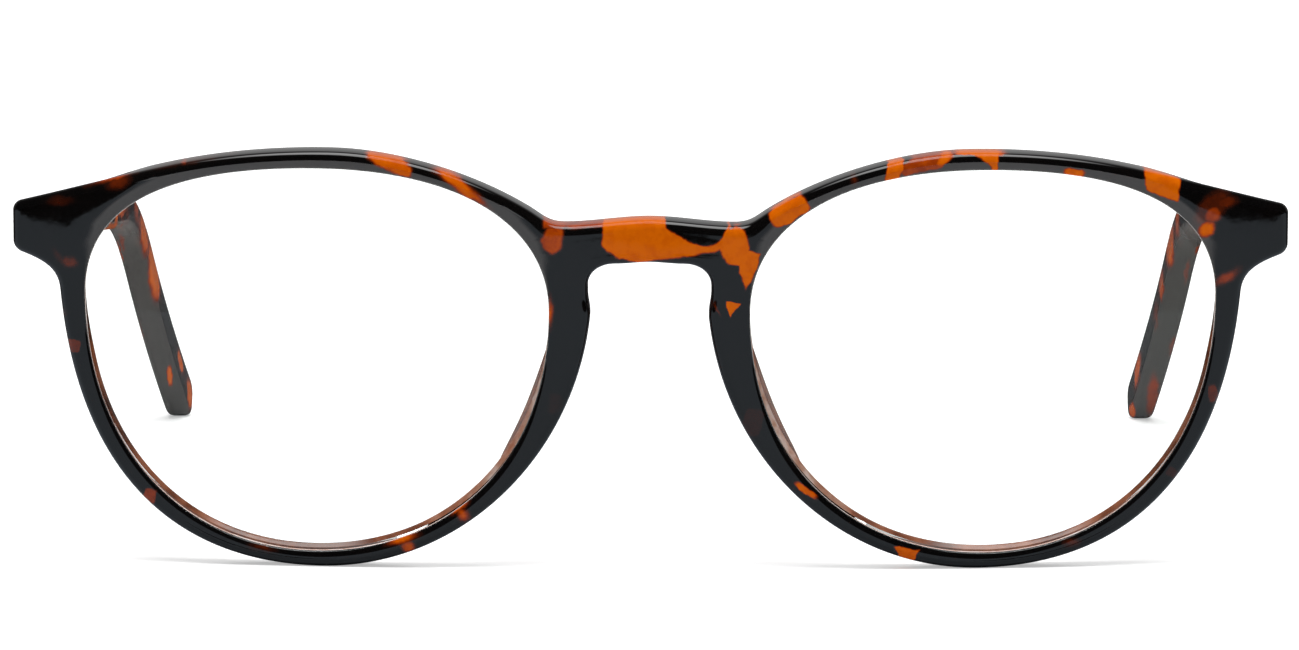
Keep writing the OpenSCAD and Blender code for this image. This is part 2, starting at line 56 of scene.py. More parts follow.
eye_x = bridge_w / 2 + lens_w / 2
open_in = bridge_w / 2 + bevel_h
open_out = bridge_w / 2 + lens_w - bevel_h
open_low = rim_bottom
open_high = rim_bottom + lens_h - 2 * bevel_h
rim_in = open_in - rim_nose
rim_out = open_out + rim_side
rim_high = open_high + rim_top
end_x = rim_out + end_reach
bridge_top = bridge_z + bridge_h
lip_r, back_r = 0.45, 0.5
leave_bridge, leave_top, meet_side, leave_nose = 0.42, 0.38, 0.095, 0.925
dip_x, dip_z, dip_run = rim_in + 3, bridge_top - 0.65, 1.8
end_top_slope, end_low_slope, end_low_run, side_run = 0.26, 0.35, 3, 2
notch_in, notch_r, notch_run, notch_pull, swell_pull, under_sag = 0.45, 2.4, 0.9, 1.4, 1, 0.2
notch_flat, notch_more, corner_pull = 0.6, 0.4, 0.6
groove_slope, lens_mid_dip, hinge_flat, ramp_w = 1.56, 0.25, 10.1, 0.4
barrel_rise, arm_inset = 0.6, 0.05
mid_from, seam_taper = 45, 12
seam_y = hinge_flat + barrel_rise + knuckle_r
lug_in = end_x - arm_t_seam - arm_inset

# The end piece's corners are sharper than in the CAD. Its face stands a little higher, because
# its top side is drafted here and isn't there.
end_r, END_RAISE = 0.95, 0.35


# ---------------------------------------------------------------- curves
def lerp(a, b, t):
    return a + (b - a) * t


def clamp(v, lo, hi):
    return min(max(v, lo), hi)


def eased(t):
    c = clamp(t, 0, 1)
    return c * c * (3 - 2 * c)


def vec(*p):
    return np.array(p, float)


def on_curve(s, t):
    """A point of the cubic curve with the four control points s."""
    u = 1 - t
    return u * u * u * s[0] + 3 * u * u * t * s[1] + 3 * u * t * t * s[2] + t * t * t * s[3]


def direction(s, t):
    u = 1 - t
    d = u * u * (s[1] - s[0]) + 2 * u * t * (s[2] - s[1]) + t * t * (s[3] - s[2])
    return d / np.linalg.norm(d)


def mixed(s, a, b, c):
    p, q, r = lerp(s[0], s[1], a), lerp(s[1], s[2], a), lerp(s[2], s[3], a)
    return lerp(lerp(p, q, b), lerp(q, r, b), c)


def stretch(s, a, b):
    """The stretch of a cubic curve between two of its parameters."""
    return [mixed(s, a, a, a), mixed(s, a, a, b), mixed(s, a, b, b), mixed(s, b, b, b)]


def straight(p, q):
    return [p, lerp(p, q, 1 / 3), lerp(p, q, 2 / 3), q]


def outward(d):
    return vec(-d[1], d[0])


def eye_shape(high, side, low, nose, full):
    """A closed shape of four quarters through its four outermost points, (x, height)."""
    quarters = []
    for k, (p, q) in enumerate(((high, side), (side, low), (low, nose), (nose, high))):
        along = vec((q[0] - p[0]) * full[k], 0), vec(0, (q[1] - p[1]) * full[k])
        first, last = along if k % 2 == 0 else along[::-1]
        quarters.append([p, p + first, q - last, q])
    return quarters


opening = eye_shape(
    vec(eye_x + open_top_dx, open_high), vec(open_out, lerp(open_low, open_high, open_side_share)),
    vec(eye_x + open_bottom_dx, open_low), vec(open_in, lerp(open_low, open_high, open_nose_share)),
    open_full)
rim = eye_shape(
    vec(eye_x + rim_top_dx, rim_high), vec(rim_out, rim_high * rim_side_share),
    vec(eye_x + rim_bottom_dx, 0), vec(rim_in, rim_high * rim_nose_share), rim_full)


def on_shape(shape, turn, out=0.0):
    """A point of an eye shape, at a turn from 0 to 4, moved outwards by a length."""
    k = int(math.floor(turn)) % 4
    t = turn - math.floor(turn)
    p = on_curve(shape[k], t)
    return p + out * outward(direction(shape[k], t)) if out else p


bridge_high, bridge_low = vec(0, bridge_top), vec(0, bridge_z)
dip = vec(dip_x, dip_z)
off_bridge, off_top = on_curve(rim[3], leave_bridge), on_curve(rim[0], leave_top)
end_top, end_low = hinge_z + end_h / 2 + END_RAISE, hinge_z - end_h / 2
end_a = vec(end_x - end_r, end_top + end_top_slope * end_r)
end_b = vec(end_x, end_top - end_r)
end_c = vec(end_x, end_low + end_r)
end_d = vec(end_x - end_r, end_low - end_low_slope * end_r)
at_side, off_nose = on_curve(rim[1], meet_side), on_curve(rim[2], leave_nose)
notch_x = rim_in + notch_in
notch_a = vec(notch_x, bridge_z - under_sag - notch_r)
notch_b = vec(notch_x - notch_r - notch_flat, bridge_z - under_sag)
swell_end = notch_a - vec(0, notch_run)
end_top_way, end_low_way = vec(1, -end_top_slope), vec(-1, -end_low_slope)
way_b, way_t = direction(rim[3], leave_bridge), direction(rim[0], leave_top)
way_s, way_n = direction(rim[1], meet_side), direction(rim[2], leave_nose)
third = (end_x - off_top[0]) / 3
corner = end_r * corner_pull

# Each stretch of the outer outline: its curve, its steps, and the turn of the opening where it starts
outer_path = [
    ([bridge_high, bridge_high + vec(dip_x / 3, 0), dip - vec(dip_x / 3, 0), dip], 4, 3.28),
    ([dip, dip + vec(dip_run, 0), off_bridge - dip_run * way_b, off_bridge], 4, 3.31),
    (stretch(rim[3], leave_bridge, 1), 5, 3.41),
    (stretch(rim[0], 0, leave_top), 5, 4),
    ([off_top, off_top + third * way_t, end_a - third * end_top_way, end_a], 5, 4.38),
    ([end_a, end_a + corner * end_top_way, end_b + vec(0, corner), end_b], 3, 4.66),
    (straight(end_b, end_c), 1, 4.71),
    ([end_c, end_c - vec(0, corner), end_d - corner * end_low_way, end_d], 3, 4.76),
    ([end_d, end_d + end_low_run * end_low_way, at_side - side_run * way_s, at_side], 6, 4.8),
    (stretch(rim[1], meet_side, 1), 13, 5),
    (stretch(rim[2], 0, leave_nose), 13, 6),
    ([off_nose, off_nose + swell_pull * way_n, swell_end - vec(0, swell_pull), swell_end], 4, 6.93),
    (straight(swell_end, notch_a), 1, 7.03),
    ([notch_a, notch_a + vec(0, notch_pull), notch_b + vec(notch_pull + notch_more, 0), notch_b],
     5, 7.08),
    ([notch_b, notch_b - vec(notch_b[0] / 3, 0), vec(notch_b[0] / 3, bridge_z), bridge_low], 2, 7.215)]
cut_turns = [7.245, 7.275]


# ---------------------------------------------------------------- depths behind the front-most plane
def face_y(x):
    return wrap_r - math.sqrt(wrap_r * wrap_r - x * x)


wrap_angle = math.asin(eye_x / wrap_r)
lens_mid = vec(eye_x, face_y(eye_x) + lens_mid_dip, rim_bottom - bevel_h + lens_h / 2)
lens_ball = lens_mid + lens_r * vec(-math.sin(wrap_angle), math.cos(wrap_angle), 0)


def lens_y(p, off=0.0):
    r = lens_r - off
    return lens_ball[1] - math.sqrt(r * r - (p[0] - lens_ball[0]) ** 2 - (p[1] - lens_ball[2]) ** 2)


def back_y(x):
    plain = min(face_y(x) + front_t, hinge_flat)
    return lerp(plain, seam_y, clamp((x - lug_in) / ramp_w + 1, 0, 1))


# ---------------------------------------------------------------- the arm's line
arm_start = seam_y + seam_gap
panto_r = math.radians(panto)
low_angle = panto_r + math.radians(bend_angle)
bend_turn = bend_r * math.radians(bend_angle)
bend_start = vec(arm_start + bend_at * math.cos(panto_r), hinge_z - bend_at * math.sin(panto_r))
bend_end = bend_start + bend_r * vec(math.sin(low_angle) - math.sin(panto_r),
                                     math.cos(low_angle) - math.cos(panto_r))
tip_r = arm_h_tip / 2


def arm_line(s):
    """Depth, height and downward angle of the arm's middle line, s from the seam."""
    if s < bend_at:
        return arm_start + s * math.cos(panto_r), hinge_z - s * math.sin(panto_r), panto_r
    if s < bend_at + bend_turn:
        q = panto_r + (s - bend_at) / bend_r
        return (bend_start[0] + bend_r * (math.sin(q) - math.sin(panto_r)),
                bend_start[1] + bend_r * (math.cos(q) - math.cos(panto_r)), q)
    r = s - bend_at - bend_turn
    return bend_end[0] + r * math.cos(low_angle), bend_end[1] - r * math.sin(low_angle), low_angle


def arm_height(s):
    if s < mid_from:
        return lerp(arm_h_seam, arm_h_mid, eased(s / mid_from))
    return lerp(arm_h_mid, arm_h_tip, eased((s - bend_at) / (arm_l - tip_r - bend_at)))


def arm_thick(s):
    if s < mid_from:
        return lerp(arm_t_seam, arm_t_mid, eased((s - seam_taper) / (mid_from - seam_taper)))
    return lerp(arm_t_mid, arm_t_tip, eased((s - mid_from) / (arm_l - mid_from)))


def tip_share(s):
    """How much of the arm's height is left at s, where its tip rounds off."""
    t = clamp((s - arm_l + tip_r) / tip_r, 0, 1)
    return math.sqrt(max(0, 1 - t * t))


def arm_outer(s):
    """How far from the middle plane the arm's outer side is."""
    return (end_x - arm_inset - s * math.tan(math.radians(toe_in))
            - tip_in * (max(s - bend_at, 0) / (arm_l - bend_at)) ** 2)


# How the glasses lean and sit on the table
foot = vec(face_y(eye_x + rim_bottom_dx) + edge_r, edge_r)
tip_line = arm_line(arm_l - tip_r)
tip_way = vec(tip_line[0], tip_line[1]) - foot
lean = math.asin((tip_r - edge_r) / np.linalg.norm(tip_way)) - math.atan2(tip_way[1], tip_way[0])
lift = edge_r - foot[1] * math.cos(lean) - foot[0] * math.sin(lean)
front_most = -bridge_top * math.sin(lean)
back_most = tip_line[0] * math.cos(lean) - tip_line[1] * math.sin(lean) + tip_r
middle_y = (front_most + back_most) / 2
MM = 0.001
# Points this close, in metres, are one
SAME_POINT = 1e-6
# Angles in degrees above which an edge shows as sharp
FRONT_SHARP, LENS_SHARP, ROUND_SHARP = 38, 20, 50


# ---------------------------------------------------------------- meshes
def on_table(points):
    """Points of the upright front, (x, depth, height) in mm, to the shared frame in metres."""
    p = np.asarray(points, float)
    c, s = math.cos(lean), math.sin(lean)
    out = np.empty_like(p)
    out[:, 0] = p[:, 0]
    out[:, 1] = p[:, 1] * c - p[:, 2] * s - middle_y
    out[:, 2] = p[:, 1] * s + p[:, 2] * c + lift
    return out * MM


def bridged(rings, sides):
    """Faces between neighbouring rings of points."""
    faces = []
    for a in range(0, (rings - 1) * sides, sides):
        for k in range(sides):
            j = (k + 1) % sides
            faces.append((a + k, a + sides + k, a + sides + j, a + j))
    return faces


def capped(rings, sides):
    """Faces between neighbouring rings, closed at both ends."""
    last = (rings - 1) * sides
    return bridged(rings, sides) + [tuple(range(sides)), tuple(range(last, last + sides))[::-1]]


def make(name, points, faces, materials, sharp, mirrored=False, kinds=None):
    """A smooth, closed mesh piece from points on the upright front."""
    p = np.asarray(points, float).copy()
    if mirrored:
        p[:, 0] *= -1
        faces = [f[::-1] for f in faces]
    me = bpy.data.meshes.new(name)
    me.from_pydata([tuple(q) for q in on_table(p)], [], faces)
    me.polygons.foreach_set("use_smooth", [True] * len(me.polygons))
    for m in materials:
        me.materials.append(m)
    if kinds:
        me.polygons.foreach_set("material_index", kinds)
    me.update()
    # join the points that fall together
    bm = bmesh.new()
    bm.from_mesh(me)
    bmesh.ops.remove_doubles(bm, verts=bm.verts, dist=SAME_POINT)
    bmesh.ops.recalc_face_normals(bm, faces=bm.faces)
    bm.to_mesh(me)
    bm.free()
    me.set_sharp_from_angle(angle=math.radians(sharp))
    ob = bpy.data.objects.new(name, me)
    bpy.context.scene.collection.objects.link(ob)
    return ob


# ---------------------------------------------------------------- node helpers
def linear(colour):
    """An sRGB colour, 0 to 255, as a linear one."""
    shares = [c / 255 for c in colour]
    return [c / 12.92 if c <= 0.04045 else ((c + 0.055) / 1.055) ** 2.4 for c in shares]


class Tree:
    """Short names for building a node tree."""

    def __init__(self, owner):
        owner.use_nodes = True
        self.owner = owner
        self.t = owner.node_tree
        self.t.nodes.clear()

    def add(self, kind, **props):
        n = self.t.nodes.new(kind)
        for k, v in props.items():
            setattr(n, k, v)
        return n

    def put(self, socket, value):
        if isinstance(value, bpy.types.NodeSocket):
            self.t.links.new(value, socket)
        else:
            socket.default_value = value

    def math(self, op, a, b=0.0, c=0.0):
        n = self.add("ShaderNodeMath", operation=op)
        for socket, value in zip(n.inputs, (a, b, c)):
            self.put(socket, value)
        return n.outputs[0]

    def times(self, a, b):
        return self.math("MULTIPLY", a, b)

    def less(self, hole):
        return self.math("SUBTRACT", 1.0, hole)

    def vmath(self, op, a, b=None):
        n = self.add("ShaderNodeVectorMath", operation=op)
        self.put(n.inputs[0], a)
        if b is not None:
            self.put(n.inputs["Scale" if op == "SCALE" else 1], b)
        return n.outputs["Value" if op in ("LENGTH", "DOT_PRODUCT") else "Vector"]

    def ramp01(self, value, lo, hi, a=0.0, b=1.0):
        """A smooth step from a to b while the value goes from lo to hi."""
        n = self.add("ShaderNodeMapRange", interpolation_type="SMOOTHSTEP", clamp=True)
        for name, v in (("Value", value), ("From Min", lo), ("From Max", hi), ("To Min", a),
                        ("To Max", b)):
            self.put(n.inputs[name], v)
        return n.outputs["Result"]

    def noise(self, vector, scale, detail, rough, out="Fac"):
        n = self.add("ShaderNodeTexNoise")
        for name, v in (("Vector", vector), ("Scale", scale), ("Detail", detail), ("Roughness", rough)):
            self.put(n.inputs[name], v)
        return n.outputs[out]

    def mapping(self, vector, kind="POINT", loc=(0, 0, 0), rot=(0, 0, 0), scale=(1, 1, 1)):
        n = self.add("ShaderNodeMapping", vector_type=kind)
        for name, v in (("Vector", vector), ("Location", loc), ("Rotation", rot), ("Scale", scale)):
            self.put(n.inputs[name], v)
        return n.outputs["Vector"]

    def coords(self, kind="Object"):
        return self.add("ShaderNodeTexCoord").outputs[kind]

    def split(self, vector):
        n = self.add("ShaderNodeSeparateXYZ")
        self.put(n.inputs[0], vector)
        return n.outputs

    def colours(self, fac, stops):
        n = self.add("ShaderNodeValToRGB")
        self.put(n.inputs[0], fac)
        r = n.color_ramp
        while len(r.elements) < len(stops):
            r.elements.new(1.0)
        for e, (pos, col) in zip(r.elements, stops):
            e.position = pos
            e.color = (*linear(col), 1)
        return n.outputs["Color"]

    def bump(self, height, strength, distance):
        n = self.add("ShaderNodeBump")
        for name, v in (("Height", height), ("Strength", strength), ("Distance", distance)):
            self.put(n.inputs[name], v)
        return n.outputs["Normal"]

    def principled(self, **sockets):
        """A Principled shader with sockets by name, an underscore for each space."""
        n = self.add("ShaderNodeBsdfPrincipled")
        for name, v in sockets.items():
            self.put(n.inputs[name.replace("_", " ")], v)
        return n.outputs[0]

    def diffuse(self, colour):
        n = self.add("ShaderNodeBsdfDiffuse")
        self.put(n.inputs["Color"], colour)
        return n.outputs[0]

    def mix(self, share, a, b):
        n = self.add("ShaderNodeMixShader")
        for socket, value in zip(n.inputs, (share, a, b)):
            self.put(socket, value)
        return n.outputs[0]

    def finish(self, shader, kind="Material"):
        out = self.add("ShaderNodeOutput" + kind)
        self.put(out.inputs["Surface"], shader)
        return self.owner


def material(name):
    return Tree(bpy.data.materials.new(name))


# ---------------------------------------------------------------- tortoise plastic
# Patches of the front, placed on the upright front, in millimetres. A shade goes from 0, dark,
# to 1, amber, and -1 cuts a dark hole. SHAPES: name, shade, softness, and the corners of a convex
# shape, (x, height).
SHAPES = [
    ("bridge_main", 1, 0.26, [
        (-5.1, 39.5), (-5.1, 35.7), (-3.6, 34.4), (-1.4, 33.8), (4.5, 34.6), (7.2, 35.1),
        (8.6, 35.7), (8.7, 39.5)]),
    ("bridge_strip", 0.66, 0.24, [
        (-11.5, 37.5), (-4.5, 37.7), (-4.5, 39.4), (-11.5, 39.1)]),
    ("bridge_blob", -1, 0.2, [
        (1.6, 40.4), (1.8, 37.9), (2.8, 37.1), (4.4, 36.2), (5.9, 35.7), (7.2, 36.0), (8.1, 37.2),
        (9.4, 40.4)]),
    ("bridge_side", 0.7, 0.3, [
        (-11.8, 36.3), (-11.5, 35.2), (-10.5, 34.7), (-9.5, 35.3), (-9.2, 36.3), (-9.3, 37.8),
        (-11.0, 37.8)]),
    ("bridge_left", 1, 0.22, [
        (7.5, 35.7), (8.1, 34.0), (9.9, 33.5), (10.6, 34.6), (10.7, 36.0), (10.2, 37.6),
        (9.1, 37.9), (8.1, 37.4)]),
    ("bridge_tail", 1, 0.22, [
        (9.5, 35.5), (9.6, 33.1), (10.4, 30.9), (11.8, 33.6), (12.0, 35.0)]),
    ("nose_triangle", 0.95, 0.1, [
        (8.2, 29.6), (8.7, 27.9), (9.9, 29.6)]),
    ("top_right_band", 0.9, 0.36, [
        (-30.9, 46.2), (-30.5, 45.0), (-29.2, 44.0), (-27.3, 43.2), (-25.6, 42.9), (-25.4, 44.1),
        (-28.2, 46.0)]),
    ("top_left_arm", 1, 0.22, [
        (25.3, 42.7), (26.6, 42.5), (27.4, 44.0), (27.2, 45.4), (25.5, 45.0)]),
    ("top_left_cloud", 0.66, 0.2, [
        (26.9, 44.3), (27.2, 43.2), (31.2, 44.0), (32.3, 44.9), (33.2, 46.2), (28.4, 45.3)]),
    ("top_left_drop", 1, 0.16, [
        (34.0, 46.3), (35.3, 44.9), (36.5, 43.9), (37.4, 43.6), (37.6, 46.2)]),
    ("side_left_block", 1, 0.22, [
        (53.2, 43.8), (53.7, 41.1), (57.0, 39.9), (57.3, 42.4)]),
    ("low_left_block", 0.9, 0.15, [
        (26.4, 2.8), (27.1, 1.3), (28.7, 1.0), (29.4, 2.2)])]
# Name, x, height, half length, half width, angle in degrees, shade and form
PATCHES = [
    ("end_right_top", -57.4, 41.7, 1.44, 0.76, 18, 0.42, "oval"),
    ("top_c", -45.3, 45.4, 0.87, 0.37, 8, 0.6, "oval"),
    ("top_d", -39.7, 46.0, 0.98, 0.28, 2, 0.55, "oval"),
    ("top_e", -50.5, 44.3, 0.44, 0.44, 0, 0.85, "oval"),
    # amber of the patch, brightened along the end piece's top edge as a painted highlight
    ("end_right_edge_painted_highlight", -58.2, 42.2, 2.11, 0.33, 16, 0.85, "oval"),
    ("end_right_dark", -63.9, 39.5, 1.55, 0.6, 8, 0.31, "oval"),
    ("top_right_edge", -50.2, 44.2, 4.83, 0.37, 11, 0.36, "oval"),
    ("side_right_a", -62.9, 32.9, 0.98, 0.67, -12, 0.42, "oval"),
    ("side_right_b", -64.0, 33.3, 0.4, 1.29, 38, 0.3, "oval"),
    ("side_right_c", -63.7, 27.1, 0.55, 0.55, 0, 0.22, "oval"),
    ("side_right_d", -62.6, 23.6, 0.72, 0.72, -3, 0.47, "box"),
    ("low_right_a", -54.4, 7.3, 0.76, 0.9, -20, 0.55, "box"),
    ("low_right_b", -42.1, 2.0, 1.42, 0.4, -8, 0.42, "oval"),
    ("low_right_c", -26.8, 3.3, 1.54, 0.44, 18, 0.95, "oval"),
    ("low_right_d", -26.1, 2.5, 0.87, 0.67, -30, 0.7, "oval"),
    ("low_right_e", -20.7, 6.9, 1.21, 0.5, 38, 1, "oval"),
    ("low_right_f", -20.1, 6.1, 0.87, 0.61, -55, 0.72, "oval"),
    ("top_right_slant", -20.5, 42.2, 3.55, 0.66, -37, 0.97, "oval"),
    ("top_right_start", -23.0, 44.2, 0.75, 0.44, -35, 0.8, "oval"),
    ("nose_right_edge", -10.8, 28.4, 0.32, 1.31, 0, 0.95, "oval"),
    ("nose_left_v", 7.2, 29.0, 0.13, 0.87, 28, 0.5, "box"),
    ("nose_left_w", 6.3, 29.5, 0.54, 0.88, 0, 0.25, "oval"),
    ("side_nose_left", 11.2, 16.5, 1.08, 1.54, -15, 0.22, "box"),
    ("side_nose_right", -10.1, 18.5, 0.87, 1.1, 0, 0.16, "box"),
    ("low_left_a", 17.0, 8.9, 1.43, 0.37, -38, 0.9, "box"),
    ("low_left_c", 45.9, 2.7, 0.98, 0.45, 8, 0.42, "oval"),
    ("top_left_a", 15.0, 39.5, 2.26, 1.09, 30, 1, "box"),
    ("top_left_b", 21.9, 43.0, 0.38, 0.55, 20, 0.42, "oval"),
    ("top_left_strip", 35.3, 45.7, 3.02, 0.35, 0, 1, "box"),
    ("top_left_gold", 31.7, 45.1, 1.29, 0.6, 40, 1, "oval"),
    ("top_left_e", 45.7, 43.3, 1.14, 0.5, -9, 0.95, "box"),
    ("end_left_a", 60.2, 36.8, 1.02, 0.78, 45, 1, "oval"),
    ("end_left_b", 62.3, 39.7, 1.31, 0.77, 8, 0.42, "oval"),
    ("end_left_c", 60.8, 38.4, 0.89, 1.02, -35, 0.62, "oval"),
    ("end_left_d", 60.7, 39.1, 2.57, 1.45, 45, 0.36, "oval"),
    ("side_left_a", 62.4, 31.5, 1.72, 0.62, 32, 0.56, "oval"),
    ("side_left_b", 61.1, 18.7, 0.6, 1.11, 8, 0.42, "box"),
    ("side_left_c", 56.8, 10.1, 0.67, 0.54, -30, 0.3, "box"),
    ("top_left_arch", 34.1, 43.1, 2.92, 2.29, 0, -1, "hole")]
# Patches of the arms: name, side, place along the arm, share of the width from outside to inside,
# share of the half height, half sizes across, along and up, and shade
ARM_MARKS = [
    ("right_a", -1, 100, 0.95, 0.0, 0.8, 5.5, 2.2, 0.95),
    ("right_b", -1, 109, 1.0, -0.1, 1.0, 6.0, 2.6, 1.12),
    ("right_i", -1, 97, 0.8, -0.2, 0.8, 6.5, 1.6, 0.72),
    ("right_j", -1, 96, 0.35, -0.95, 0.35, 5.0, 1.2, 0.5),
    ("left_j", 1, 97, 0.8, -0.2, 0.8, 5.5, 1.6, 0.66),
    ("left_k", 1, 105, 0.3, -0.95, 0.35, 4.0, 1.2, 0.4),
    ("right_c", -1, 130, 1.0, 0.0, 0.6, 3.0, 1.3, 0.95),
    ("right_d", -1, 129, 0.68, -1.0, 0.4, 2.4, 0.8, 0.95),
    ("right_e", -1, 136.5, 1.0, -0.1, 0.45, 3.4, 2.0, 0.95),
    ("right_f", -1, 101, 0.05, -1.0, 0.5, 5.0, 1.5, 0.6),
    ("right_g", -1, 121, 0.0, -0.9, 0.4, 4.5, 1.5, 0.5),
    ("right_h", -1, 92, 0.9, 0.3, 0.6, 3.0, 2.0, 0.7),
    ("left_a", 1, 94, 1.0, 0.0, 0.6, 2.6, 2.0, 0.8),
    ("left_b", 1, 102, 1.0, -0.1, 0.7, 4.8, 2.4, 0.95),
    ("left_c", 1, 111, 1.0, -0.2, 0.5, 2.4, 2.2, 0.8),
    ("left_d", 1, 117, 0.95, -0.4, 0.4, 3.2, 1.6, 0.5),
    ("left_e", 1, 131, 1.0, 0.0, 0.5, 4.0, 2.2, 0.85),
    ("left_f", 1, 137, 0.9, -0.8, 0.5, 1.8, 1.0, 0.9),
    ("left_g", 1, 133, 0.35, -1.0, 0.9, 6.0, 1.2, 0.58),
    ("left_h", 1, 99, 0.1, -1.0, 0.5, 2.0, 1.2, 0.6),
    ("left_i", 1, 122, 0.1, -1.0, 0.6, 2.6, 1.2, 0.45),
    ("outer_right", -1, 116, -0.1, 0.3, 0.8, 9.0, 2.4, 0.85),
    ("outer_left", 1, 118, -0.1, 0.3, 0.8, 8.0, 2.4, 0.85)]

# Colours by shade, from the dark plastic to amber
STOPS = [
    (0.0, (7, 6, 6)), (0.12, (12, 8, 7)), (0.3, (48, 16, 6)), (0.45, (92, 30, 5)),
    (0.62, (146, 52, 6)), (0.8, (192, 80, 3)), (1.0, (210, 98, 3))]
# Browns of the inner walls, the front lip and the pads. Above the pads' own brown, the paler shades are
# painted light through the plastic, a painted reflection and a painted highlight
BROWNS_PAINTED_LIGHT = [
    (0.0, (70, 38, 26)), (0.3, (120, 66, 42)), (0.6, (160, 98, 70)), (0.82, (184, 140, 120)),
    (1.0, (220, 198, 190))]
# Softness of the edges, in millimetres
SOFT = {"box": 0.28, "oval": 0.48, "hole": 0.2}
POLISHED, SATIN = 0.035, 0.12
# A patch of the front goes right through it
DEEP = 1000
# How far noise bends the patches' edges, coarse and fine, and the free pattern, in millimetres, and
# how widely the sides of a shape blend, as a share of its softness
WARP, FINE_WARP, CLOUD_WARP, BLEND = 0.7, 0.14, 2.2, 1.5
# Painted light and reflection of the table, added to the dark plastic where it faces down
FRONT_PAINTED_TABLE_LIGHT, ARM_PAINTED_TABLE_LIGHT = (66, 64, 63), (65, 63, 61)
# The free pattern on the arms: its place in the noise, scale, threshold and shade, and the depths
# between which it fades out, because the patches take over behind them
CLOUD_SEED, CLOUD_SCALE, CLOUD_FROM, CLOUD_SHADE, CLOUD_FADE = (3, 5, 2), 0.2, 0.52, 0.95, (88, 100)
# Less shine where amber or a satin arm would mirror the room too much
PLAIN_SHINE, AMBER_SHINE, ARM_SHINE = 0.5, 0.1, 0.15


def upright(t):
    """Coordinates in millimetres of the upright front: x, depth, height."""
    c, s = math.cos(lean), math.sin(lean)
    return t.mapping(t.coords(), loc=(0, middle_y * c - lift * s, -middle_y * s - lift * c),
                     rot=(-lean, 0, 0), scale=(1 / MM, 1 / MM, 1 / MM))


def finish_plastic(t, up, col, rough, shine=PLAIN_SHINE):
    """Polished, with the faint waviness of tumbled plastic."""
    return t.finish(t.principled(
        Base_Color=col, Specular_IOR_Level=shine, IOR=1.5,
        Roughness=t.ramp01(t.noise(up, 1.3, 4.0, 0.6), 0.3, 0.8, rough * 0.7, rough * 1.4),
        Normal=t.bump(t.noise(up, 0.5, 2.0, 0.5), 0.03, 0.0001)))


